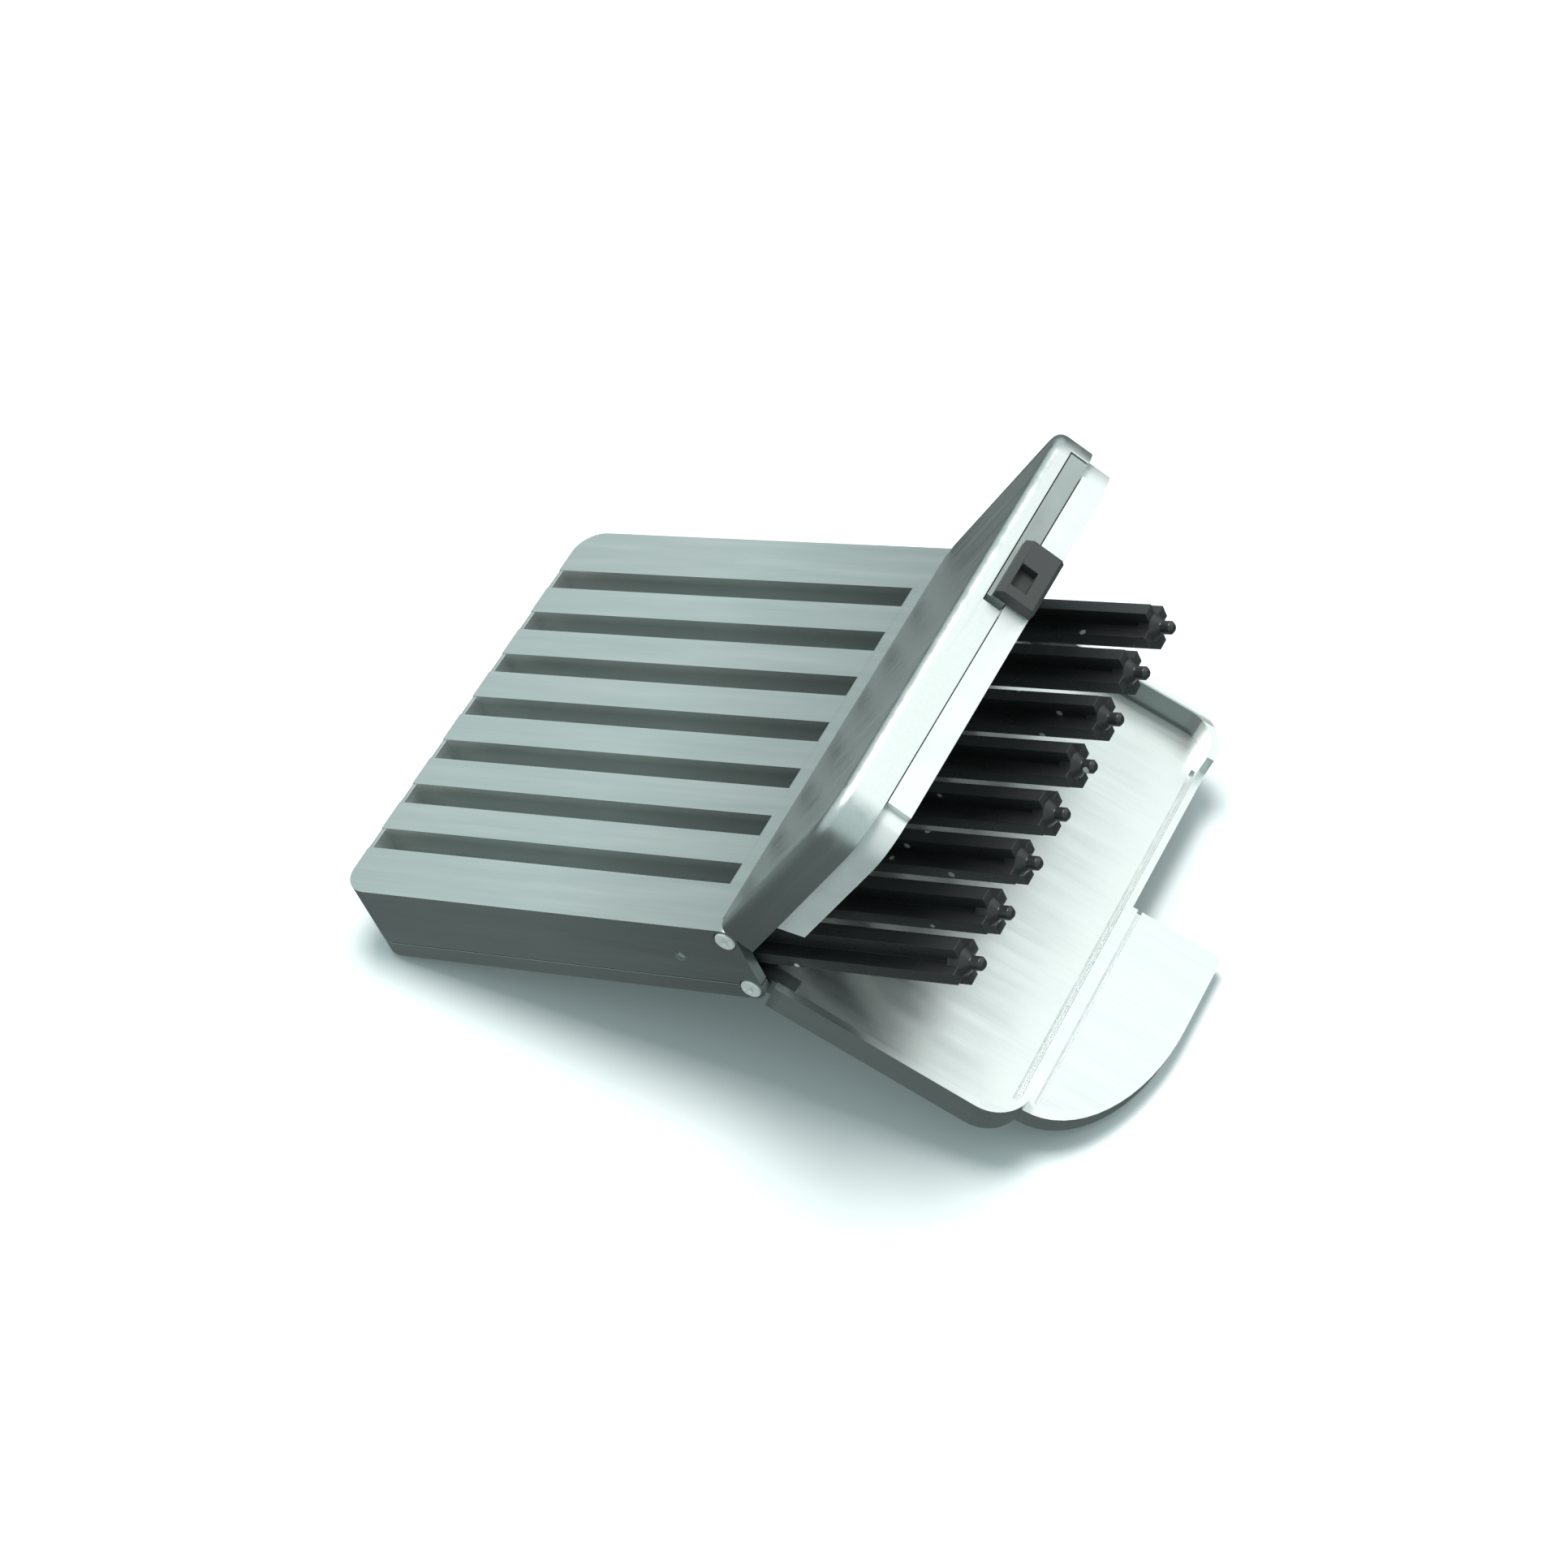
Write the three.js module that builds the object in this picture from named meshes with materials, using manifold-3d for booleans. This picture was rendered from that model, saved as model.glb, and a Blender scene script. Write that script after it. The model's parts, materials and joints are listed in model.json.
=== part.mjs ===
// A flat pocket case for eight wax guard sticks, standing open on its own lower cover.
//
// Case frame (before the whole case is tipped): +X runs along the sticks towards the covers,
// +Y runs across them, +Z points out of the ribbed face. Its origin is the middle of the
// hinge line, where the ribbed face meets the covers. Millimetres.
import * as THREE from 'three';
import Module from 'manifold-3d';
import { mergeVertices } from 'three/addons/utils/BufferGeometryUtils.js';

const wasm = await Module();
wasm.setup();

// ---- driving dimensions ----
const STICK_COUNT = 8;
const PITCH = 5.0; // from one stick to the next
const CASE_WIDTH = 41.4;
const CASE_LENGTH = 36.8; // left end to hinge line
const CASE_THICKNESS = 7.4;
const COVER_LENGTH = 22.05; // hinge line to free edge
const UPPER_OPEN = THREE.MathUtils.degToRad(41);
const LOWER_OPEN = THREE.MathUtils.degToRad(40);

const HALF_WIDTH = CASE_WIDTH / 2;
const TOP = 0;
const BOTTOM = -CASE_THICKNESS;
const PAST = 5; // how far a cutting tool runs past what it cuts
const OVERLAP = 0.2; // how far solids that are joined run into each other
const CLEARANCE = 0.1; // between fitted pieces

// ---- case body ----
const CASE_CORNER = 2.4;
const ROOF = 2.2;
const BASE_BAND = 1.45; // height of the base plate's outer band
const BASE_FLOOR = 1.0;
const SIDE_WALL = 0.9;
const END_WALL = 1.2;
const PARTING = BOTTOM + BASE_BAND; // where the top shell meets the base plate
const FLOOR = BOTTOM + BASE_FLOOR;
const CEILING = TOP - ROOF;
const CAVITY_HALF = HALF_WIDTH - SIDE_WALL;

const GROOVE_WIDTH = 2.1;
const GROOVE_DEPTH = 2.4;
const GROOVE_SILL = 0.35; // thin low wall that closes each groove at the left end
const GROOVE_SILL_DROP = 0.1;
const GROOVE_MARGIN = 1.6; // plain strip between the grooves and the hinge line
const RIM_THICKNESS = 0.8; // the base plate's rim, inside the top shell
const RIM_HEIGHT = 0.8;
const RIM_GAP = 0.15;
const ROOF_SEPARATOR_WIDTH = 3.2; // wider than the groove that is cut into it
const FLOOR_SEPARATOR_WIDTH = 2.2;
const SEPARATOR_GAP = 0.2; // to the flanges of the sticks

// ---- hinges ----
const PIN_DEPTH = 1.1; // pin axis under the case's top face, and over its bottom face
const PIN_RADIUS = 0.45;
const PIN_CHAMFER = 0.12;
const PIN_HEAD_RADIUS = 0.85;
const PIN_HEAD_THICKNESS = 0.45;
const PIN_DIMPLE_RADIUS = 0.4;
const PIN_DIMPLE_DEPTH = 0.4;
const SINK_DEPTH = 0.35; // counterbore for the pin head
const LUG_RADIUS = 1.1;
const EAR_RADIUS = 0.75;
const EAR_WEB = 0.5; // from the pin axis to the ear's outer side
const EAR_INNER = 18.35;
const EAR_OUTER = CAVITY_HALF - 0.2;
const EAR_REACH = 3.0;
const NOTCH_DEPTH = 0.9; // room for an ear inside the case's open edge
const NOTCH_GAP = 0.15;
const NOTCH_SKIN = 0.3; // left over the notch, so that it doesn't show outside
const DIMPLE_RADIUS = 0.5; // small pit in each side wall, near the hinge
const DIMPLE_DEPTH = 0.3;
const DIMPLE_X = -5.2;
const DIMPLE_Z = -3.4;
const UPPER_PIN_Z = TOP - PIN_DEPTH;
const LOWER_PIN_Z = BOTTOM + PIN_DEPTH;

// ---- covers ----
const COVER_HALF = HALF_WIDTH + 0.3;
const COVER_START = 1.5; // side walls
const COVER_EDGE = 0.55; // outer face, between the ears
const COVER_UNDERCUT = 0.3;
const COVER_FACE = 0.9; // thickness of the upper cover's roof and the lower cover's floor
const COVER_WALL = 0.6;
const EDGE_RADIUS = 0.8; // around the covers' outer faces
const EDGE_STEPS = 4;
const UPPER_CORNER = 3.6;
const LOWER_CORNER = 3.4;
const UPPER_SHELL_DEPTH = 3.1;
const LINER_DEPTH = 5.2;
const LINER_THICKNESS = 0.55;
const LINER_START = 5.0;
const LINER_LIP_START = 6.2;
const LINER_END_HALF = 17.0; // half length of the lip across the free end
const LIP_SETBACK = 0.15; // lip face behind the shell's end face
const SLOT_TOP = -1.5; // long slot through the free end, behind the catch
const SLOT_DEPTH = 2.0;
const SLOT_START = 2.2;
const SLOT_END = 18.2;
const CATCH_CENTRE = 5.6;
const CATCH_WIDTH = 5.4;
const CATCH_TOP = -1.9;
const CATCH_REACH = 1.2;
const CATCH_CHAMFER = 0.5;
const CATCH_FOOT_CHAMFER = 0.3;
const CATCH_GAP = 0.05;
const CATCH_WINDOW_Y = [3.8, 6.0];
const CATCH_WINDOW_Z = [-3.9, -2.5];
const CATCH_WINDOW_FLOOR = 0.35;
const CATCH_BAR_DEPTH = 1.2;
const LOWER_RIM = 3.4; // side wall height over the cover's underside
const LOWER_SILL = 1.4; // height of the free end
const LOWER_END_HALF = 17.3; // the free end is open between its two corners
const TAB_LENGTH = 7.9;
const TAB_THICKNESS = 1.8;
const TAB_FRONT_EDGE = -18.3;
const TAB_BACK_EDGE = 2.5;
const TAB_SWEEP = 13.4; // along Y, length of the tab's curved front
const TAB_BACK_CORNER = 0.6;
const LINE_WIDTH = 0.35; // two narrow grooves along the lower cover's free end
const LINE_DEPTH = 0.5;
const INNER_LINE = -1.1; // where each starts, from the cover's free end
const OUTER_LINE = 0.45;

// ---- sticks ----
const STICK_Z = (CEILING + FLOOR) / 2;
const RIB_HEIGHT = 3.8;
const FLANGE_WIDTH = 3.6;
const WEB = 1.1; // thickness of the rib and of the flange
const STICK_END = 18.2; // outer end of the ribs, past the hinge line
const STICK_INNER = -31.0;
const SPIGOT = 1.0; // how far a turned end runs into the ribs
const PROBE_END = 19.8;
const PROBE_RADIUS = 0.55;
const PROBE_CONE = 0.6;
const PROBE_CHAMFER = 0.25;
const GUARD_PIN_RADIUS = 0.5;
const GUARD_PIN_LENGTH = 2.4;
const GUARD_PIN_CHAMFER = 0.15;
const GUARD_BORE = 0.6;
const GUARD_RADIUS = 0.95;
const GUARD_CHAMFER = 0.25;
const GUARD_COLLAR = 1.25;
const GUARD_COLLAR_LENGTH = 0.6;
const GUARD_LENGTH = 2.9;
const FLANGE_TOP = STICK_Z + WEB / 2;
const FLANGE_BOTTOM = STICK_Z - WEB / 2;

// ---- finishes ----
const SILVER = { color: 0xaab6b2, roughness: 0.42, metalness: 0.55 };
const GREY = { color: 0xb4bbb8, roughness: 0.5, metalness: 0.1 };
const DARK_GREY = { color: 0x6d7b77, roughness: 0.5, metalness: 0.1 };
const STEEL = { color: 0xd4d8d8, roughness: 0.25, metalness: 0.9 };
const BLACK = { color: 0x0c0e10, roughness: 0.45, metalness: 0.0 };
const WHITE = { color: 0xf0f0ec, roughness: 0.6, metalness: 0.0 };

// ---- solids ----
function solid(geometry) {
  const bare = geometry.index ? geometry.toNonIndexed() : geometry.clone();
  bare.deleteAttribute('normal');
  bare.deleteAttribute('uv');
  const merged = mergeVertices(bare, 1e-4);
  return new wasm.Manifold(new wasm.Mesh({
    numProp: 3,
    vertProperties: new Float32Array(merged.attributes.position.array),
    triVerts: new Uint32Array(merged.index.array),
  }));
}

function join(...solids) {
  return solids.reduce((whole, next) => whole.add(next));
}

function cut(body, ...tools) {
  return tools.reduce((rest, tool) => rest.subtract(tool), body);
}

function box(x, y, z) {
  const geometry = new THREE.BoxGeometry(x[1] - x[0], y[1] - y[0], z[1] - z[0]);
  geometry.translate((x[0] + x[1]) / 2, (y[0] + y[1]) / 2, (z[0] + z[1]) / 2);
  return solid(geometry);
}

// A shape in the XY plane, pulled from z[0] up to z[1].
function slab(shape, z) {
  const geometry = new THREE.ExtrudeGeometry(shape, {
    depth: z[1] - z[0], bevelEnabled: false, curveSegments: 8,
  });
  geometry.translate(0, 0, z[0]);
  return solid(geometry);
}

// A shape drawn in the XZ plane, pulled from y[0] to y[1].
function plate(shape, y) {
  const geometry = new THREE.ExtrudeGeometry(shape, {
    depth: y[1] - y[0], bevelEnabled: false, curveSegments: 8,
  });
  geometry.rotateX(Math.PI / 2);
  geometry.translate(0, y[1], 0);
  return solid(geometry);
}

// A rod along Y, centred on x, z.
function rod(radius, x, z, y) {
  const geometry = new THREE.CylinderGeometry(radius, radius, y[1] - y[0], 24);
  geometry.translate(x, (y[0] + y[1]) / 2, z);
  return solid(geometry);
}

// A turned piece along X: profile points are [distance along X, radius].
function turned(profile, y, z, segments = 16) {
  const points = profile.map(([along, radius]) => new THREE.Vector2(radius, along));
  const geometry = new THREE.LatheGeometry(points, segments);
  geometry.rotateZ(-Math.PI / 2);
  geometry.translate(0, y, z);
  return solid(geometry);
}

// The same piece on both sides of the case.
function bothSides(make) {
  return join(make(1), make(-1));
}

function sideSpan(side, inner, outer) {
  return side > 0 ? [inner, outer] : [-outer, -inner];
}

// Plan outline, square at its hinge end and rounded at the corners of the other end.
function plan(xSquare, xRound, half, radius) {
  const direction = Math.sign(xRound - xSquare);
  const xArc = xRound - direction * radius;
  const shape = new THREE.Shape();
  shape.moveTo(xSquare, -half);
  shape.lineTo(xArc, -half);
  if (direction > 0) {
    shape.absarc(xArc, -half + radius, radius, -Math.PI / 2, 0, false);
    shape.absarc(xArc, half - radius, radius, 0, Math.PI / 2, false);
  } else {
    shape.absarc(xArc, -half + radius, radius, -Math.PI / 2, -Math.PI, true);
    shape.absarc(xArc, half - radius, radius, Math.PI, Math.PI / 2, true);
  }
  shape.lineTo(xSquare, half);
  shape.closePath();
  return shape;
}

// Side view of a hinge lug: square at the back, round about the pin, straight to its far edge.
function lugProfile(pinZ, farZ) {
  const up = Math.sign(pinZ - farZ);
  const shape = new THREE.Shape();
  shape.moveTo(-LUG_RADIUS, farZ);
  shape.lineTo(LUG_RADIUS, farZ);
  shape.lineTo(LUG_RADIUS, pinZ);
  shape.absarc(0, pinZ, LUG_RADIUS, 0, up * Math.PI / 2, up < 0);
  shape.lineTo(-LUG_RADIUS, pinZ + up * LUG_RADIUS);
  shape.closePath();
  return shape;
}

// A cover's two ears: a disc about the pin and a web running into the cover. The case's
// inside lies at `inward` (1 up, -1 down) from the pin.
function ears(pinZ, inward) {
  const webZ = [pinZ - inward * EAR_WEB, pinZ + inward * EAR_RADIUS].sort((a, b) => a - b);
  const pair = bothSides((side) => {
    const y = sideSpan(side, EAR_INNER, EAR_OUTER);
    return join(rod(EAR_RADIUS, 0, pinZ, y), box([0, EAR_REACH], y, webZ));
  });
  return cut(pair, rod(PIN_RADIUS + CLEARANCE / 2, 0, pinZ, [-HALF_WIDTH, HALF_WIDTH]));
}

// The edge of a cover's outer face between its ears. Its undercut lies along the case's own
// face when the cover is fully open.
function hingeEdge(outerZ, inward, opening) {
  const shape = new THREE.Shape();
  shape.moveTo(COVER_EDGE, outerZ);
  shape.lineTo(COVER_EDGE + COVER_UNDERCUT, outerZ + inward * COVER_UNDERCUT * Math.tan(opening));
  shape.lineTo(COVER_EDGE + COVER_UNDERCUT, outerZ + inward * COVER_FACE);
  shape.lineTo(COVER_START + OVERLAP, outerZ + inward * COVER_FACE);
  shape.lineTo(COVER_START + OVERLAP, outerZ);
  shape.closePath();
  return plate(shape, [-EAR_OUTER, EAR_OUTER]);
}

// What a hinge takes out of the case: the pin hole, the sinks for its heads, the ears' room.
function hingeRoom(pinZ, notchZ) {
  const hole = rod(PIN_RADIUS + CLEARANCE / 2, 0, pinZ, [-HALF_WIDTH - PAST, HALF_WIDTH + PAST]);
  const sinks = bothSides((side) => rod(PIN_HEAD_RADIUS + CLEARANCE, 0, pinZ,
    sideSpan(side, HALF_WIDTH - SINK_DEPTH, HALF_WIDTH + PAST)));
  const notches = bothSides((side) => box([-NOTCH_DEPTH, PAST],
    sideSpan(side, EAR_INNER - NOTCH_GAP, CAVITY_HALF), notchZ));
  return join(hole, sinks, notches);
}

const UPPER_NOTCH = [CEILING - OVERLAP, TOP - NOTCH_SKIN];
const LOWER_NOTCH = [BOTTOM + NOTCH_SKIN, PARTING + RIM_HEIGHT + OVERLAP];

function separatorCentres() {
  const centres = [];
  for (let i = 1; i < STICK_COUNT; i += 1) {
    centres.push((i - STICK_COUNT / 2) * PITCH);
  }
  return centres;
}

function bars(width, x, z) {
  return join(...separatorCentres().map((y) => box(x, [y - width / 2, y + width / 2], z)));
}

function caseTopShell() {
  const bottom = PARTING + CLEARANCE;
  const block = slab(plan(0, -CASE_LENGTH, HALF_WIDTH, CASE_CORNER), [bottom, TOP]);
  const lugs = bothSides((side) => plate(lugProfile(UPPER_PIN_Z, bottom),
    sideSpan(side, CAVITY_HALF, HALF_WIDTH)));
  const cavity = box([-CASE_LENGTH + END_WALL, PAST], [-CAVITY_HALF, CAVITY_HALF],
    [BOTTOM, CEILING]);
  const grooves = bars(GROOVE_WIDTH, [-CASE_LENGTH + GROOVE_SILL, -GROOVE_MARGIN],
    [TOP - GROOVE_DEPTH, TOP + PAST]);
  const sills = bars(GROOVE_WIDTH, [-CASE_LENGTH - PAST, -CASE_LENGTH + GROOVE_SILL + OVERLAP],
    [TOP - GROOVE_SILL_DROP, TOP + PAST]);
  const separators = bars(ROOF_SEPARATOR_WIDTH, [-CASE_LENGTH + END_WALL - OVERLAP, -GROOVE_MARGIN],
    [FLANGE_TOP + SEPARATOR_GAP, CEILING + OVERLAP]);
  const shell = join(cut(block, cavity), separators, cut(lugs, cavity));
  const dimples = bothSides((side) => rod(DIMPLE_RADIUS, DIMPLE_X, DIMPLE_Z,
    sideSpan(side, HALF_WIDTH - DIMPLE_DEPTH, HALF_WIDTH + PAST)));
  return cut(shell, grooves, sills, dimples, hingeRoom(UPPER_PIN_Z, UPPER_NOTCH),
    hingeRoom(LOWER_PIN_Z, LOWER_NOTCH));
}

function caseBasePlate() {
  const block = slab(plan(0, -CASE_LENGTH, HALF_WIDTH, CASE_CORNER), [BOTTOM, PARTING]);
  const lugs = bothSides((side) => plate(lugProfile(LOWER_PIN_Z, PARTING),
    sideSpan(side, CAVITY_HALF, HALF_WIDTH)));
  const rimOuter = CAVITY_HALF - RIM_GAP;
  const rimEnd = -CASE_LENGTH + END_WALL + RIM_GAP;
  const rim = box([rimEnd, -NOTCH_DEPTH], [-rimOuter, rimOuter],
    [PARTING - OVERLAP, PARTING + RIM_HEIGHT]);
  const hollow = box([rimEnd + RIM_THICKNESS, PAST],
    [-rimOuter + RIM_THICKNESS, rimOuter - RIM_THICKNESS], [FLOOR, TOP]);
  const separators = bars(FLOOR_SEPARATOR_WIDTH, [rimEnd + RIM_THICKNESS - OVERLAP, -GROOVE_MARGIN],
    [FLOOR - OVERLAP, FLANGE_BOTTOM - SEPARATOR_GAP]);
  return cut(join(cut(join(block, rim), hollow), lugs, separators),
    hingeRoom(LOWER_PIN_Z, LOWER_NOTCH));
}

function hingePin(pinZ, side) {
  const tail = EAR_INNER - CLEARANCE;
  const seat = HALF_WIDTH - SINK_DEPTH + CLEARANCE / 2;
  const face = seat + PIN_HEAD_THICKNESS;
  const profile = [
    [0, tail], [PIN_RADIUS - PIN_CHAMFER, tail], [PIN_RADIUS, tail + PIN_CHAMFER],
    [PIN_RADIUS, seat], [PIN_HEAD_RADIUS, seat], [PIN_HEAD_RADIUS, face - PIN_CHAMFER],
    [PIN_HEAD_RADIUS - PIN_CHAMFER, face], [PIN_DIMPLE_RADIUS, face], [0, face - PIN_DIMPLE_DEPTH],
  ];
  const points = profile.map(([radius, along]) => new THREE.Vector2(radius, along));
  const geometry = new THREE.LatheGeometry(points, 24);
  if (side < 0) geometry.rotateX(Math.PI);
  geometry.translate(0, 0, pinZ);
  return solid(geometry);
}

// A cover's outer body: its plan outline from rimZ to faceZ, rounded off around the outer face.
function coverBody(corner, rimZ, faceZ) {
  const outline = plan(COVER_START - PAST, COVER_LENGTH, COVER_HALF, corner);
  const geometry = new THREE.ExtrudeGeometry(outline, {
    depth: PAST,
    curveSegments: 8,
    bevelSegments: EDGE_STEPS,
    bevelThickness: EDGE_RADIUS,
    bevelSize: EDGE_RADIUS,
    bevelOffset: -EDGE_RADIUS,
  });
  const upwards = faceZ > rimZ;
  geometry.translate(0, 0, upwards ? faceZ - PAST - EDGE_RADIUS : faceZ + EDGE_RADIUS);
  const hingeSide = box([COVER_START - 2 * PAST, COVER_START], [-HALF_WIDTH - PAST, HALF_WIDTH + PAST],
    [BOTTOM - 2 * PAST, TOP + 2 * PAST]);
  const rimSide = box([-PAST, COVER_LENGTH + PAST], [-HALF_WIDTH - PAST, HALF_WIDTH + PAST],
    upwards ? [rimZ - 2 * PAST, rimZ] : [rimZ, rimZ + 2 * PAST]);
  return cut(solid(geometry), hingeSide, rimSide);
}

// A cover's tray: its outer body less the hollow, which is open at the hinge end.
function tray(corner, rimZ, faceZ, hollowZ) {
  const hollow = plan(COVER_START - PAST, COVER_LENGTH - COVER_WALL, COVER_HALF - COVER_WALL,
    corner - COVER_WALL);
  return cut(coverBody(corner, rimZ, faceZ), slab(hollow, hollowZ));
}

// The long slot, which runs through the shell's free end wall and the liner behind it.
function endSlot() {
  return box([COVER_LENGTH - SLOT_DEPTH, COVER_LENGTH + PAST], [SLOT_START, SLOT_END],
    [TOP - UPPER_SHELL_DEPTH, SLOT_TOP]);
}

function upperCoverShell() {
  const rim = TOP - UPPER_SHELL_DEPTH;
  const shell = tray(UPPER_CORNER, rim, TOP, [rim - PAST, TOP - COVER_FACE]);
  return join(cut(shell, endSlot()), hingeEdge(TOP, -1, UPPER_OPEN), ears(UPPER_PIN_Z, -1));
}

function upperCoverLiner() {
  const outerHalf = COVER_HALF - COVER_WALL - CLEARANCE;
  const outerEnd = COVER_LENGTH - COVER_WALL - CLEARANCE;
  const corner = LOWER_CORNER - COVER_WALL; // it nests in the lower cover's corners
  const top = TOP - COVER_FACE - CLEARANCE;
  const frame = cut(
    slab(plan(LINER_START, outerEnd, outerHalf, corner), [-LINER_DEPTH, top]),
    slab(plan(LINER_START - PAST, outerEnd - LINER_THICKNESS, outerHalf - LINER_THICKNESS,
      corner - LINER_THICKNESS), [-LINER_DEPTH - PAST, TOP]),
  );
  // The arms' ends slope back from the shell's edge to the start of the lip.
  const slope = new THREE.Shape();
  slope.moveTo(LINER_START - PAST, -LINER_DEPTH - PAST);
  slope.lineTo(LINER_LIP_START, -LINER_DEPTH - PAST);
  slope.lineTo(LINER_LIP_START, -LINER_DEPTH);
  slope.lineTo(LINER_START, -UPPER_SHELL_DEPTH);
  slope.lineTo(LINER_START - PAST, -UPPER_SHELL_DEPTH);
  slope.closePath();
  const lip = box([outerEnd - LINER_THICKNESS, COVER_LENGTH - LIP_SETBACK],
    [-LINER_END_HALF, LINER_END_HALF], [-LINER_DEPTH, -UPPER_SHELL_DEPTH - CLEARANCE]);
  return cut(join(cut(frame, plate(slope, [-COVER_HALF, COVER_HALF])), lip), endSlot());
}

// A hollow-faced block on the free end and the bar it is moulded on, which lies in the slot.
function latchCatch() {
  const start = COVER_LENGTH + CATCH_GAP;
  const end = start + CATCH_REACH;
  const y = [CATCH_CENTRE - CATCH_WIDTH / 2, CATCH_CENTRE + CATCH_WIDTH / 2];
  const block = new THREE.Shape();
  block.moveTo(start, CATCH_TOP);
  block.lineTo(end - CATCH_CHAMFER, CATCH_TOP);
  block.lineTo(end, CATCH_TOP - CATCH_CHAMFER);
  block.lineTo(end, -LINER_DEPTH + CATCH_FOOT_CHAMFER);
  block.lineTo(end - CATCH_FOOT_CHAMFER, -LINER_DEPTH);
  block.lineTo(start, -LINER_DEPTH);
  block.closePath();
  const window = box([start + CATCH_WINDOW_FLOOR, end + PAST], CATCH_WINDOW_Y, CATCH_WINDOW_Z);
  const bar = box([COVER_LENGTH - CATCH_BAR_DEPTH, COVER_LENGTH - LIP_SETBACK],
    [y[0], SLOT_END - CLEARANCE], [-UPPER_SHELL_DEPTH, SLOT_TOP - CLEARANCE]);
  const neck = box([COVER_LENGTH - CATCH_BAR_DEPTH, start + OVERLAP], y,
    [-UPPER_SHELL_DEPTH, CATCH_TOP]);
  return join(cut(plate(block, y), window), bar, neck);
}

function tabPlan() {
  const root = COVER_LENGTH - EDGE_RADIUS - OVERLAP;
  const end = COVER_LENGTH + TAB_LENGTH;
  const arc = TAB_BACK_CORNER;
  const shape = new THREE.Shape();
  shape.moveTo(root, TAB_FRONT_EDGE);
  shape.lineTo(COVER_LENGTH, TAB_FRONT_EDGE);
  shape.absellipse(COVER_LENGTH, TAB_FRONT_EDGE + TAB_SWEEP, TAB_LENGTH, TAB_SWEEP,
    -Math.PI / 2, 0, false, 0);
  shape.lineTo(end, TAB_BACK_EDGE - arc);
  shape.absarc(end - arc, TAB_BACK_EDGE - arc, arc, 0, Math.PI / 2, false);
  shape.lineTo(root, TAB_BACK_EDGE);
  shape.closePath();
  return shape;
}

// A narrow groove across the lower cover, in a face at the height z.
function line(start, z) {
  return box([COVER_LENGTH + start, COVER_LENGTH + start + LINE_WIDTH],
    [-LOWER_END_HALF, LOWER_END_HALF], [z - LINE_DEPTH, z + OVERLAP]);
}

function lowerCover() {
  const rim = BOTTOM + LOWER_RIM;
  const dish = tray(LOWER_CORNER, rim, BOTTOM, [BOTTOM + COVER_FACE, rim + PAST]);
  const mouth = box([COVER_LENGTH - LOWER_CORNER, COVER_LENGTH + PAST],
    [-LOWER_END_HALF, LOWER_END_HALF], [BOTTOM + LOWER_SILL, TOP]);
  const tab = slab(tabPlan(), [BOTTOM, BOTTOM + TAB_THICKNESS]);
  const overFloor = box([0, COVER_LENGTH - COVER_WALL], [-COVER_HALF, COVER_HALF],
    [BOTTOM + COVER_FACE, TOP]);
  const outerLine = line(OUTER_LINE, BOTTOM + TAB_THICKNESS);
  const innerLine = line(INNER_LINE, BOTTOM + COVER_FACE);
  const body = join(cut(dish, mouth), cut(tab, overFloor, outerLine));
  return join(cut(body, innerLine), hingeEdge(BOTTOM, 1, LOWER_OPEN), ears(LOWER_PIN_Z, 1));
}

function stickY(index) {
  return (index - (STICK_COUNT - 1) / 2) * PITCH;
}

// Section of a stick in its own YZ plane: a plus sign.
function crossSection() {
  const web = WEB / 2;
  const tall = RIB_HEIGHT / 2;
  const wide = FLANGE_WIDTH / 2;
  const corners = [[wide, web], [web, web], [web, tall]];
  const shape = new THREE.Shape();
  shape.moveTo(wide, -web);
  for (const [ySign, zSign, flip] of [[1, 1, false], [-1, 1, true], [-1, -1, false], [1, -1, true]]) {
    const quarter = flip ? [...corners].reverse() : corners;
    for (const [y, z] of quarter) shape.lineTo(ySign * y, zSign * z);
  }
  shape.closePath();
  return shape;
}

function stick(index) {
  const geometry = new THREE.ExtrudeGeometry(crossSection(), {
    depth: STICK_END - STICK_INNER, bevelEnabled: false,
  });
  // Stand the section up across X: its x becomes Y, its y becomes Z.
  geometry.rotateX(Math.PI / 2);
  geometry.rotateZ(Math.PI / 2);
  geometry.translate(STICK_INNER, stickY(index), STICK_Z);
  const y = stickY(index);
  const probe = turned([
    [STICK_END - SPIGOT, 0], [STICK_END - SPIGOT, WEB], [STICK_END, WEB],
    [STICK_END + PROBE_CONE, PROBE_RADIUS], [PROBE_END - PROBE_CHAMFER, PROBE_RADIUS],
    [PROBE_END, PROBE_RADIUS - PROBE_CHAMFER], [PROBE_END, 0],
  ], y, STICK_Z, 12);
  const pinEnd = STICK_INNER - GUARD_PIN_LENGTH;
  const guardPin = turned([
    [pinEnd, 0], [pinEnd, GUARD_PIN_RADIUS - GUARD_PIN_CHAMFER],
    [pinEnd + GUARD_PIN_CHAMFER, GUARD_PIN_RADIUS], [STICK_INNER + SPIGOT, GUARD_PIN_RADIUS],
    [STICK_INNER + SPIGOT, 0],
  ], y, STICK_Z, 12);
  return join(solid(geometry), probe, guardPin);
}

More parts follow.
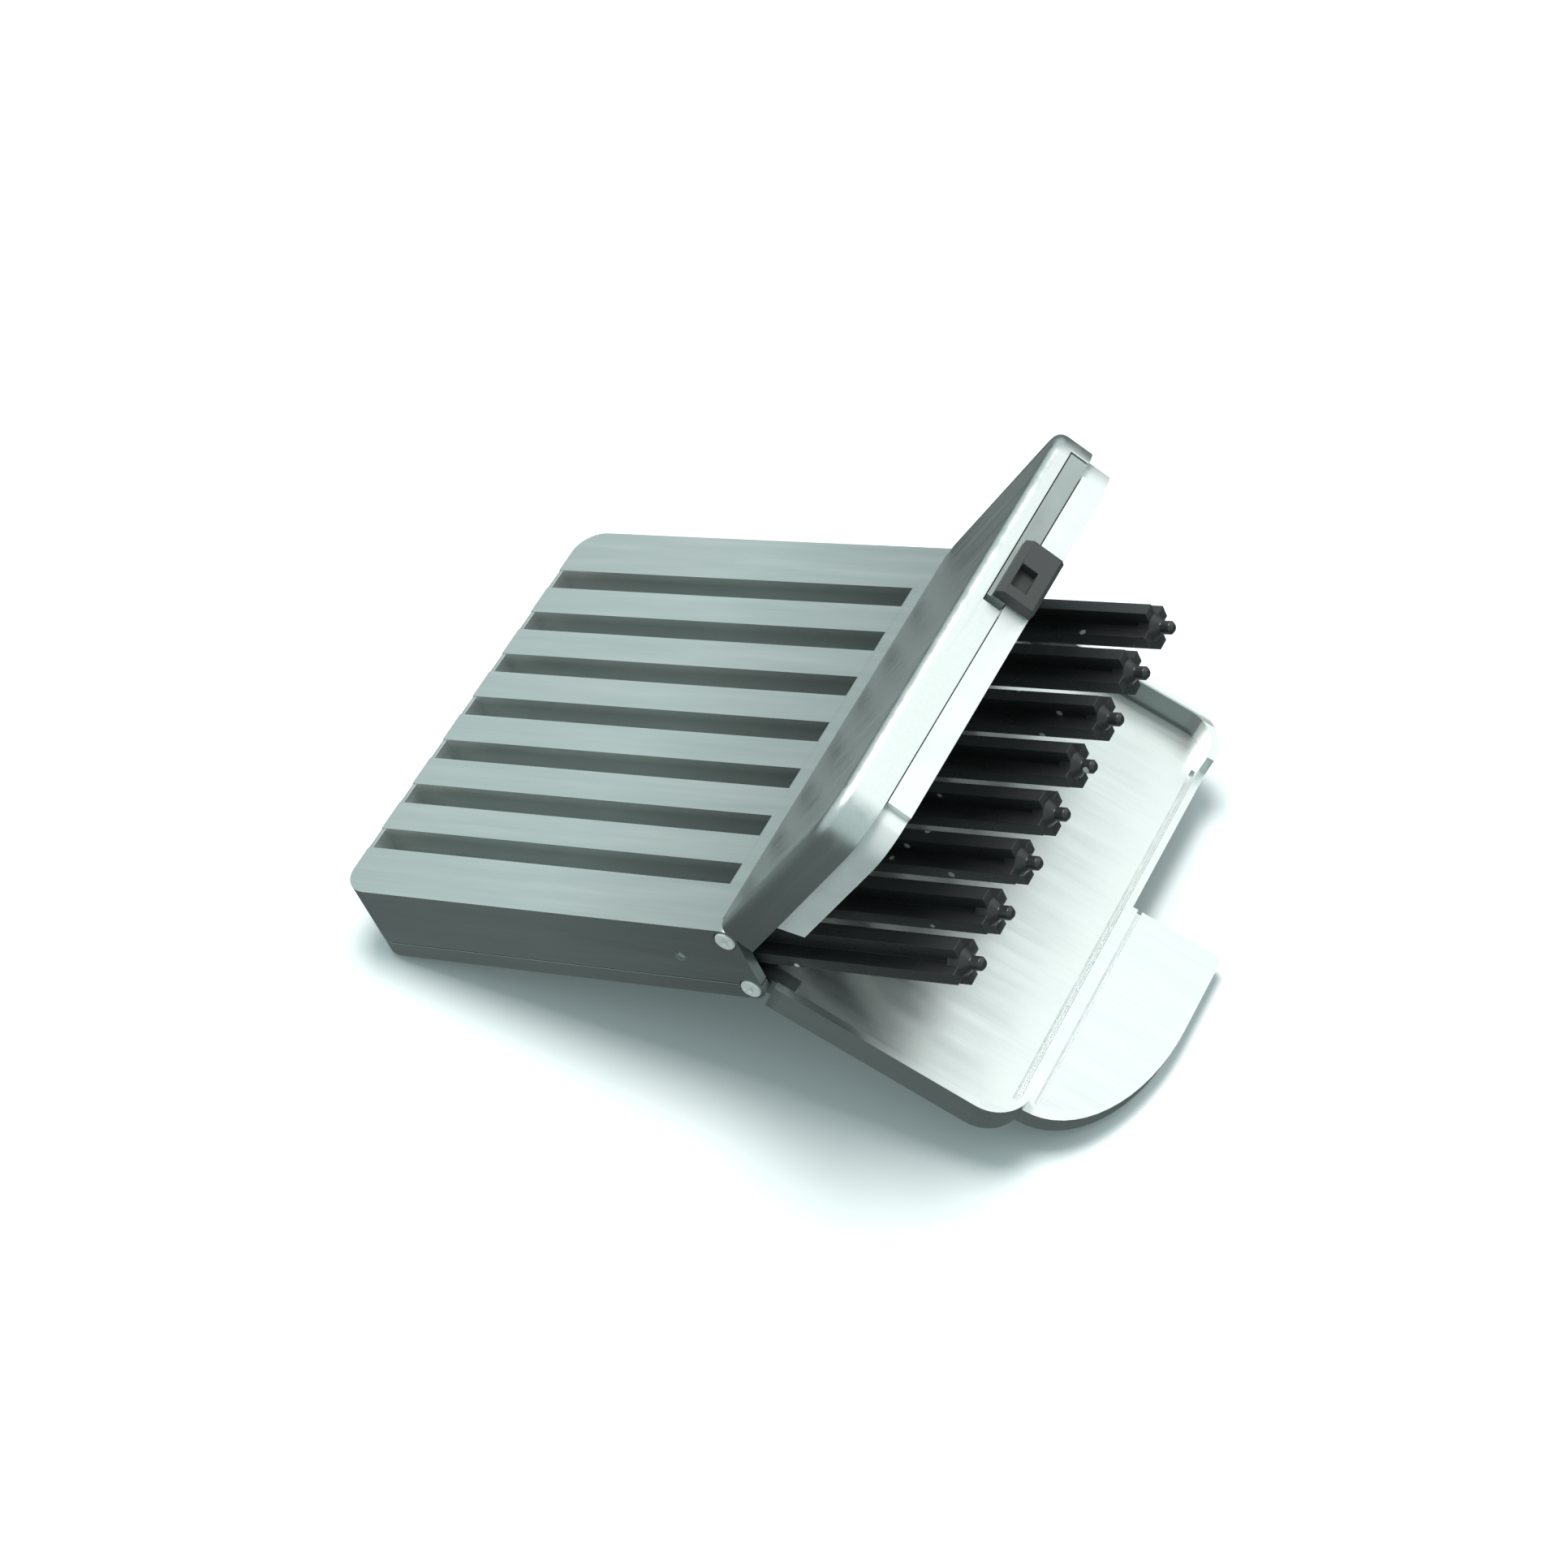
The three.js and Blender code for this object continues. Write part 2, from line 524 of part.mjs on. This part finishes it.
// The filter bush carried on a stick's inner end: a sleeve with a collar and a closed face.
function waxGuard(index) {
  const start = STICK_INNER - CLEARANCE;
  const end = start - GUARD_LENGTH;
  const floor = STICK_INNER - GUARD_PIN_LENGTH - CLEARANCE;
  return turned([
    [end, 0], [end, GUARD_RADIUS - GUARD_CHAMFER], [end + GUARD_CHAMFER, GUARD_RADIUS],
    [start - GUARD_COLLAR_LENGTH, GUARD_RADIUS], [start - GUARD_COLLAR_LENGTH, GUARD_COLLAR],
    [start, GUARD_COLLAR], [start, GUARD_BORE], [floor, GUARD_BORE], [floor, 0],
  ], stickY(index), STICK_Z, 16);
}

// ---- the assembly ----
function addPiece(group, name, finish, body, pivotZ = 0) {
  const parts = body.getMesh();
  const geometry = new THREE.BufferGeometry();
  geometry.setAttribute('position', new THREE.BufferAttribute(new Float32Array(parts.vertProperties), 3));
  geometry.setIndex(new THREE.BufferAttribute(new Uint32Array(parts.triVerts), 1));
  geometry.translate(0, 0, -pivotZ);
  const mesh = new THREE.Mesh(geometry, new THREE.MeshStandardMaterial(finish));
  mesh.name = name;
  group.add(mesh);
}

function coverGroup(pinZ, turn) {
  const group = new THREE.Group();
  group.position.z = pinZ;
  group.rotation.y = turn;
  return group;
}

const caseGroup = new THREE.Group();
addPiece(caseGroup, 'case_top_shell', SILVER, caseTopShell());
addPiece(caseGroup, 'case_base_plate', SILVER, caseBasePlate());
for (const [level, pinZ] of [['upper', UPPER_PIN_Z], ['lower', LOWER_PIN_Z]]) {
  addPiece(caseGroup, `${level}_hinge_pin_front`, STEEL, hingePin(pinZ, -1));
  addPiece(caseGroup, `${level}_hinge_pin_back`, STEEL, hingePin(pinZ, 1));
}

const upperCover = coverGroup(UPPER_PIN_Z, -UPPER_OPEN);
addPiece(upperCover, 'upper_cover_shell', SILVER, upperCoverShell(), UPPER_PIN_Z);
addPiece(upperCover, 'upper_cover_liner', GREY, upperCoverLiner(), UPPER_PIN_Z);
addPiece(upperCover, 'latch_catch', DARK_GREY, latchCatch(), UPPER_PIN_Z);
caseGroup.add(upperCover);

const lowerCoverGroup = coverGroup(LOWER_PIN_Z, LOWER_OPEN);
addPiece(lowerCoverGroup, 'lower_cover', SILVER, lowerCover(), LOWER_PIN_Z);
caseGroup.add(lowerCoverGroup);

for (let i = 0; i < STICK_COUNT; i += 1) {
  addPiece(caseGroup, `stick_${i + 1}`, BLACK, stick(i));
  addPiece(caseGroup, `wax_guard_${i + 1}`, WHITE, waxGuard(i));
}

// The case stands on the edge of its base's left end and on the rim of the lower cover's tab.
const tabReach = COVER_LENGTH + TAB_LENGTH;
const tabX = tabReach * Math.cos(LOWER_OPEN) - PIN_DEPTH * Math.sin(LOWER_OPEN);
const tabZ = LOWER_PIN_Z - tabReach * Math.sin(LOWER_OPEN) - PIN_DEPTH * Math.cos(LOWER_OPEN);
caseGroup.rotation.y = -Math.atan2(BOTTOM - tabZ, tabX + CASE_LENGTH);

// Origin: on the surface it stands on, under the middle of its bounding box.
const part = new THREE.Group();
part.add(caseGroup);
part.updateMatrixWorld(true);
const bounds = new THREE.Box3().setFromObject(part, true);
const middle = bounds.getCenter(new THREE.Vector3());
caseGroup.position.set(-middle.x, -middle.y, -bounds.min.z);

export default part;
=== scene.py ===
"""Looks for a flat pocket case of wax guard sticks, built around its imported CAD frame."""
import json
import math

import bmesh
import bpy
from mathutils import Matrix, Vector


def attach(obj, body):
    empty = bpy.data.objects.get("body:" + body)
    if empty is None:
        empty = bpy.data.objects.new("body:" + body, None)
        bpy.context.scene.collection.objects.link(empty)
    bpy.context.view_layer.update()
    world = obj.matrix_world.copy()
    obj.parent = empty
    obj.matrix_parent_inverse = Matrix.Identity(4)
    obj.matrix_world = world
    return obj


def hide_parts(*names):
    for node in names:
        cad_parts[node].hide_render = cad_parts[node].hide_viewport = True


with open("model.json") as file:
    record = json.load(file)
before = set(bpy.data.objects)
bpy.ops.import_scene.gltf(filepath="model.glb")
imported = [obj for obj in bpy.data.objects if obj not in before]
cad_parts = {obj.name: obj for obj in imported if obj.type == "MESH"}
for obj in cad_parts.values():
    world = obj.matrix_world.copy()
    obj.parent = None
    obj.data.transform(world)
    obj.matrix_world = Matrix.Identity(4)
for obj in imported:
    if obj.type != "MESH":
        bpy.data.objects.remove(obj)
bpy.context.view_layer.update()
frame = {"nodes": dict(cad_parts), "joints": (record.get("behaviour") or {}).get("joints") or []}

MM = 0.001

# ---- where the case lies, read from the frame's joints ----
JOINTS = {joint["name"]: joint for joint in frame["joints"]}
CASE_X = Vector(JOINTS["stick_1_slide"]["axis"])
CASE_Y = Vector((0, 1, 0))
CASE_Z = CASE_X.cross(CASE_Y)
TILT = math.atan2(CASE_X.z, CASE_X.x)
# Each cover closes at the low end of its hinge's range.
UPPER_TURN = TILT - math.radians(JOINTS["upper_cover_hinge"]["range_deg"][0])
LOWER_TURN = TILT + math.radians(JOINTS["lower_cover_hinge"]["range_deg"][0])
PIN_DEPTH = 1.1 * MM  # pin axis under the case's top face
UPPER_PIN = Vector(JOINTS["upper_cover_hinge"]["pos_m"])
HINGE_POINT = UPPER_PIN + CASE_Z * PIN_DEPTH  # over the pin, in the top face

# ---- where a piece is painted darker, as it lies in shade in the open case ----
# (start, end, share): distances from the hinge point, and a share of the piece's own tone.
CASE_SHADE = (0, -18 * MM, 0.72)
UPPER_SHADE = (0, 18 * MM, 0.68)
LOWER_SHADE = (4.0 * MM, 6.4 * MM, 0.18)
LOWER_BACK_WALL_SHADE = (20.15 * MM, 20.65 * MM, 0.5)  # across the piece; the others are along it
GROOVE_SHADE_SHARE = 0.68
GROOVE_DEPTHS = (-0.9 * MM, -0.2 * MM)
GROOVE_SIDES = (18.6 * MM, 18.8 * MM)
GROOVE_ENDS = (-36.5 * MM, -36.4 * MM)
CATCH_FACE = 21.4 * MM
CATCH_FACE_SHADE_SHARE = 0.15
CRISP = 0.05 * MM  # width of a painted edge
SOFT = 0.2 * MM

# ---- camera and light ----
CAMERA_AZIMUTH = 46.04
CAMERA_ELEVATION = 37.85
CAMERA_ROLL = -27.62
CAMERA_DISTANCE = 319.5 * MM
CAMERA_RIGHT = -6.43 * MM
CAMERA_UP = -7.24 * MM
CAMERA_SIDE = 4.73 * MM
CAMERA_LENS = 95.4
WORLD_COLOR = (0.84, 1.0, 1.0, 1)
WORLD_ABOVE = 0.60
WORLD_BELOW = 0.125
HORIZON = (-0.1, 0.2)  # the studio goes from dark to bright between these heights
KEY = {"towards": (-0.06, 0.15, 0.98), "distance": 0.60, "size": 0.26, "power": 3.2,
       "color": (1.0, 0.965, 0.95)}
CARD = {"towards": (0.58, 0.56, 0.60), "distance": 0.50, "size": 0.40, "power": 0.32,
        "color": (1.0, 0.93, 0.92)}


def make_camera():
    """The viewing angles are stated in the case's own tipped axes."""
    azimuth, elevation, roll = map(math.radians, (CAMERA_AZIMUTH, CAMERA_ELEVATION, CAMERA_ROLL))
    level = Vector((math.cos(azimuth), math.sin(azimuth), 0))
    back = Vector((math.sin(azimuth) * math.cos(elevation), -math.cos(azimuth) * math.cos(elevation),
                   math.sin(elevation)))
    rise = back.cross(level)
    right = level * math.cos(roll) + rise * math.sin(roll)
    up = rise * math.cos(roll) - level * math.sin(roll)
    case_axes = Matrix((CASE_X, CASE_Y, CASE_Z)).transposed()
    place = right * CAMERA_RIGHT + up * CAMERA_UP + back * CAMERA_DISTANCE + Vector((0, CAMERA_SIDE, 0))
    turn = case_axes @ Matrix((right, up, back)).transposed()
    data = bpy.data.cameras.new("camera")
    data.lens = CAMERA_LENS
    data.clip_start = 0.01
    data.clip_end = 20
    camera = bpy.data.objects.new("camera", data)
    camera.matrix_world = Matrix.Translation(HINGE_POINT + case_axes @ place) @ turn.to_4x4()
    bpy.context.scene.collection.objects.link(camera)
    bpy.context.scene.camera = camera


def area_light(name, towards, distance, size, power, color):
    """A square soft light that shines on the object from the direction `towards`."""
    data = bpy.data.lights.new(name, "AREA")
    data.shape = "SQUARE"
    data.size = size
    data.energy = power
    data.color = color
    light = bpy.data.objects.new(name, data)
    direction = Vector(towards).normalized()
    light.location = direction * distance
    light.rotation_euler = direction.to_track_quat("Z", "Y").to_euler()
    bpy.context.scene.collection.objects.link(light)


def make_lights():
    area_light("key", **KEY)
    area_light("card", **CARD)
    world = bpy.data.worlds.new("studio")
    world.use_nodes = True
    tree = world.node_tree
    background = tree.nodes["Background"]
    background.inputs["Color"].default_value = WORLD_COLOR
    towards = tree.nodes.new("ShaderNodeTexCoord")
    split = tree.nodes.new("ShaderNodeSeparateXYZ")
    tree.links.new(towards.outputs["Generated"], split.inputs[0])
    ramp = tree.nodes.new("ShaderNodeMapRange")
    ramp.interpolation_type = "SMOOTHSTEP"
    tree.links.new(split.outputs["Z"], ramp.inputs["Value"])
    ramp.inputs["From Min"].default_value, ramp.inputs["From Max"].default_value = HORIZON
    ramp.inputs["To Min"].default_value = WORLD_BELOW
    ramp.inputs["To Max"].default_value = WORLD_ABOVE
    tree.links.new(ramp.outputs["Result"], background.inputs["Strength"])
    bpy.context.scene.world = world
    bpy.context.scene.view_settings.view_transform = "Standard"


# ---- tones ----
SILVER = (0.715, 0.77, 0.75)
SILVER_ROUGHNESS = (0.28, 0.41)
STEEL = ((0.72, 0.74, 0.74), (0.9, 0.92, 0.92))
STEEL_ROUGHNESS = (0.18, 0.3)
LINER_GREY = (0.66, 0.70, 0.69)
CATCH_GREY = (0.27, 0.31, 0.30)
STICK_BLACK = (0.024, 0.025, 0.026)
GUARD_WHITE = (0.86, 0.86, 0.82)
# grey of the pale specks on the sticks
SPECK_GREY = (0.6, 0.62, 0.62)
FLOOR_TONES = ((0.86, 0.93, 0.93), (0.87, 0.94, 0.94))

# ---- textures: the scale and detail of each noise ----
FINE_STREAKS = (5200, 5)
LONG_STREAKS = (900, 3)
SILVER_CLOUD = (90, 3)
STEEL_RINGS = (4000, 3)
PLASTIC_GRAIN = (9000, 4)
PLASTIC_CLOUD = (250, 3)
FLOOR_CLOUD = (6, 2)
NOISE_ROUGHNESS = 0.55
NOISE_RANGE = (0.3, 0.7)  # nearly all of a noise's values
SILVER_CLOUD_RANGE = (0.42, 0.68)
PLASTIC_CLOUD_RANGE = (0.35, 0.7)
FINE_STRETCH = (0.03, 1, 1)  # a small share of X draws a noise out along the piece
LONG_STRETCH = (0.06, 1, 1)
RING_STRETCH = (1, 0.2, 1)
SILVER_BUMP = (0.004 * MM, 0.6)  # distance and strength
PLASTIC_BUMP = (0.003 * MM, 0.7)
STEEL_BUMP = (0.003 * MM, 0.5)
# the pale specks on the sticks
SPECK_SCALE = 330
SPECK_DOT = (0.07, 0.1)  # a dot fades out between these shares of the distance between dots
EDGE_POINTINESS = (0.505, 0.56)  # a flat face is 0.5


# ---- node helpers ----
class Shader:
    """A Principled material and short calls for the nodes that feed it."""

    def __init__(self, name, **sockets):
        self.material = bpy.data.materials.new(name)
        self.material.use_nodes = True
        self.tree = self.material.node_tree
        self.surface = self.tree.nodes["Principled BSDF"]
        for socket, value in sockets.items():
            self.surface.inputs[socket.replace("_", " ")].default_value = value

    def node(self, kind, inputs=None, **settings):
        made = self.tree.nodes.new(kind)
        for key, value in settings.items():
            setattr(made, key, value)
        for socket, value in (inputs or {}).items():
            if isinstance(value, bpy.types.NodeSocket):
                self.tree.links.new(value, made.inputs[socket])
            else:
                made.inputs[socket].default_value = value
        return made

    def coordinates(self, turn=0.0, scale=(1, 1, 1)):
        """Coordinates in metres from the hinge point, turned so that X runs along the piece."""
        place = self.node("ShaderNodeVectorMath",
                          {0: self.node("ShaderNodeTexCoord").outputs["Object"], 1: tuple(HINGE_POINT)},
                          operation="SUBTRACT").outputs[0]
        level = self.node("ShaderNodeVectorRotate", {"Vector": place, "Angle": turn},
                          rotation_type="Y_AXIS").outputs["Vector"]
        return self.node("ShaderNodeVectorMath", {0: level, 1: scale}, operation="MULTIPLY").outputs[0]

    def noise(self, vector, scale, detail):
        return self.node("ShaderNodeTexNoise", {"Vector": vector, "Scale": scale, "Detail": detail,
                                                "Roughness": NOISE_ROUGHNESS}).outputs["Fac"]

    def spread(self, value, low, high, to_low=0.0, to_high=1.0):
        """Maps low..high of a value onto to_low..to_high."""
        return self.node("ShaderNodeMapRange", {"Value": value, "From Min": low, "From Max": high,
                                                "To Min": to_low, "To Max": to_high}).outputs["Result"]

    def mix(self, factor, first, second):
        return self.node("ShaderNodeMix", {0: factor, 6: (*first, 1) if isinstance(first, tuple) else first,
                                           7: (*second, 1) if isinstance(second, tuple) else second},
                         data_type="RGBA").outputs[2]

    def product(self, first, second):
        return self.node("ShaderNodeMath", {0: first, 1: second}, operation="MULTIPLY").outputs[0]

    def dimmed(self, tone, share):
        """A colour scaled by a share from 0 to 1."""
        return self.mix(share, (0.0, 0.0, 0.0), tone)

    def edges(self, strength):
        """Up to `strength` on outer edges, 0 on flats."""
        sharp = self.node("ShaderNodeNewGeometry").outputs["Pointiness"]
        return self.spread(sharp, *EDGE_POINTINESS, 0, strength)

    def bump(self, height, distance, strength):
        inputs = {"Height": height, "Distance": distance, "Strength": strength}
        return self.node("ShaderNodeBump", inputs).outputs["Normal"]

    def set(self, socket, value):
        self.tree.links.new(value, self.surface.inputs[socket])


# ---- materials ----
def scaled(color, *factors):
    """A colour times one factor, or times one for each channel, kept under 1."""
    if len(factors) == 1:
        factors *= 3
    return tuple(min(1, channel * factor) for channel, factor in zip(color, factors))


def brushed_silver(name, turn, shaded, shaded_grooves=False, back_wall_shade=None):
    """Satin grey-green silver with fine streaks along the piece and slightly brighter edges.

    `shaded` is (start, end, share) along the piece, for painted shade: the tone is down to that share at
    `start`, and whole from `end` on. `back_wall_shade` is the same across the piece, for painted shade on
    the wall between the two. `shaded_grooves` paints shade into the grooves of the top face.
    """
    shader = Shader(name, Metallic=1.0)
    fine = shader.noise(shader.coordinates(turn, FINE_STRETCH), *FINE_STREAKS)
    long = shader.noise(shader.coordinates(turn, LONG_STRETCH), *LONG_STREAKS)
    cloud = shader.noise(shader.coordinates(turn), *SILVER_CLOUD)
    tone = shader.mix(shader.spread(fine, *NOISE_RANGE), scaled(SILVER, 0.93), scaled(SILVER, 1.05))
    warm = scaled(SILVER, 1.05, 0.98, 1.0)
    tone = shader.mix(shader.spread(cloud, *SILVER_CLOUD_RANGE, 0, 0.6), tone, warm)
    tone = shader.mix(shader.edges(0.5), tone, scaled(SILVER, 1.18))
    place = shader.node("ShaderNodeSeparateXYZ", {0: shader.coordinates(turn)}).outputs
    # painted shade: darker at `start`, towards the hinge
    start, end, share = shaded
    tone = shader.dimmed(tone, shader.spread(place["X"], start, end, share, 1))
    # painted shade: darker deep in the grooves of the top face
    if shaded_grooves:
        deep = shader.spread(place["Z"], *GROOVE_DEPTHS, 1, 0)
        aside = shader.node("ShaderNodeMath", {0: place["Y"]}, operation="ABSOLUTE").outputs[0]
        within = shader.spread(aside, *GROOVE_SIDES, 1, 0)
        inside = shader.spread(place["X"], *GROOVE_ENDS)
        groove = shader.product(shader.product(deep, within), inside)
        tone = shader.dimmed(tone, shader.spread(groove, 0, 1, 1, GROOVE_SHADE_SHARE))
    # painted shade on the lower cover's back inner wall
    if back_wall_shade:
        start, end, share = back_wall_shade
        wall = shader.product(shader.spread(place["Y"], start, start + CRISP),
                              shader.spread(place["Y"], end - SOFT, end, 1, 0))
        tone = shader.dimmed(tone, shader.spread(wall, 0, 1, 1, share))
    shader.set("Base Color", tone)
    shader.set("Roughness", shader.spread(long, *NOISE_RANGE, *SILVER_ROUGHNESS))
    shader.set("Normal", shader.bump(fine, *SILVER_BUMP))
    return shader.material


def moulded_plastic(name, base, rough, metallic=0.0, specks=0.0, outer=None):
    """Moulded plastic with a very fine grain, paler worn edges and, if asked, pale specks.

    `outer` is (turn, distance, share): beyond that distance along the piece it is darker, as painted shade.
    """
    shader = Shader(name, Metallic=metallic)
    grainy = shader.noise(shader.coordinates(), *PLASTIC_GRAIN)
    cloud = shader.noise(shader.coordinates(), *PLASTIC_CLOUD)
    tone = shader.mix(shader.spread(cloud, *PLASTIC_CLOUD_RANGE), scaled(base, 0.9), scaled(base, 1.1))
    pale = tuple(min(1, channel * 1.25 + 0.01) for channel in base)
    tone = shader.mix(shader.edges(0.6), tone, pale)
    # pale specks scattered over the surface
    if specks:
        spots = shader.node("ShaderNodeTexVoronoi", {"Vector": shader.coordinates(), "Scale": SPECK_SCALE,
                                                     "Randomness": 1.0})
        dots = shader.spread(spots.outputs["Distance"], *SPECK_DOT, specks, 0)
        tone = shader.mix(dots, tone, SPECK_GREY)
    # painted shade: darker on the outer face beyond `distance`
    if outer:
        turn, distance, share = outer
        along = shader.node("ShaderNodeSeparateXYZ", {0: shader.coordinates(turn)}).outputs["X"]
        tone = shader.mix(shader.spread(along, distance, distance + CRISP), tone, scaled(base, share))
    shader.set("Base Color", tone)
    shader.set("Roughness", shader.spread(cloud, *NOISE_RANGE, rough - 0.05, rough + 0.06))
    shader.set("Normal", shader.bump(grainy, *PLASTIC_BUMP))
    return shader.material


def turned_steel(name):
    """Bright steel, slightly uneven around the pin."""
    shader = Shader(name, Metallic=0.4)
    rings = shader.noise(shader.coordinates(TILT, RING_STRETCH), *STEEL_RINGS)
    shader.set("Base Color", shader.mix(rings, *STEEL))
    shader.set("Roughness", shader.spread(rings, *NOISE_RANGE, *STEEL_ROUGHNESS))
    shader.set("Normal", shader.bump(rings, *STEEL_BUMP))
    return shader.material


# ---- pieces ----
MERGE_DISTANCE = 0.002 * MM
FLAT_ANGLE = math.radians(1)  # facets that differ by less are one face
SHARP_ANGLE = math.radians(28)


def rounded_copy(node, width, material, body, segments=3):
    """The CAD piece again, with its coplanar facets merged and its sharp edges rounded.

    `width` is that of the rounding, in millimetres.
    """
    work = bmesh.new()
    work.from_mesh(frame["nodes"][node].data)
    bmesh.ops.remove_doubles(work, verts=work.verts, dist=MERGE_DISTANCE)
    bmesh.ops.dissolve_limit(work, angle_limit=FLAT_ANGLE, verts=work.verts, edges=work.edges)
    mesh = bpy.data.meshes.new(node + "_look")
    work.to_mesh(mesh)
    work.free()
    mesh.materials.clear()
    mesh.materials.append(material)
    piece = bpy.data.objects.new(node + "_look", mesh)
    bpy.context.scene.collection.objects.link(piece)
    for polygon in mesh.polygons:
        polygon.use_smooth = True
    bevel = piece.modifiers.new("round", "BEVEL")
    bevel.width = width * MM
    bevel.segments = segments
    bevel.limit_method = "ANGLE"
    bevel.angle_limit = SHARP_ANGLE
    bevel.use_clamp_overlap = True
    bevel.miter_outer = "MITER_ARC"
    normals = piece.modifiers.new("normals", "WEIGHTED_NORMAL")
    normals.keep_sharp = False
    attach(piece, body)
    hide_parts(node)
    return piece


def make_pieces():
    silver_case = brushed_silver("silver_case", TILT, CASE_SHADE, shaded_grooves=True)
    silver_upper = brushed_silver("silver_upper", UPPER_TURN, UPPER_SHADE)
    silver_lower = brushed_silver("silver_lower", LOWER_TURN, LOWER_SHADE, back_wall_shade=LOWER_BACK_WALL_SHADE)
    liner = moulded_plastic("grey_liner", LINER_GREY, 0.42, metallic=0.45)
    catch = moulded_plastic("catch_plastic", CATCH_GREY, 0.55,
                            outer=(UPPER_TURN, CATCH_FACE, CATCH_FACE_SHADE_SHARE))
    black = moulded_plastic("black_stick", STICK_BLACK, 0.3, specks=0.8)
    white = moulded_plastic("white_guard", GUARD_WHITE, 0.5)
    steel = turned_steel("pin_steel")

    rounded_copy("case_top_shell", 0.22, silver_case, "case")
    rounded_copy("case_base_plate", 0.2, silver_case, "case")
    rounded_copy("upper_cover_shell", 0.2, silver_upper, "upper_cover")
    rounded_copy("upper_cover_liner", 0.12, liner, "upper_cover")
    rounded_copy("latch_catch", 0.12, catch, "upper_cover")
    rounded_copy("lower_cover", 0.2, silver_lower, "lower_cover")
    for level in ("upper", "lower"):
        for side in ("front", "back"):
            rounded_copy(f"{level}_hinge_pin_{side}", 0.06, steel, "case", 2)
    for number in range(1, 9):
        unit = f"stick_unit_{number}"
        rounded_copy(f"stick_{number}", 0.14, black, unit)
        rounded_copy(f"wax_guard_{number}", 0.06, white, unit, 2)


def make_floor():
    mesh = bpy.data.meshes.new("floor")
    half = 3.0  # metres
    mesh.from_pydata([(-half, -half, 0), (half, -half, 0), (half, half, 0), (-half, half, 0)], [],
                     [(0, 1, 2, 3)])
    shader = Shader("floor", Roughness=0.6)
    cloud = shader.noise(shader.coordinates(), *FLOOR_CLOUD)
    shader.set("Base Color", shader.mix(cloud, *FLOOR_TONES))
    mesh.materials.append(shader.material)
    floor = bpy.data.objects.new("floor", mesh)
    bpy.context.scene.collection.objects.link(floor)
    floor.visible_glossy = False


make_camera()
make_lights()
make_floor()
make_pieces()
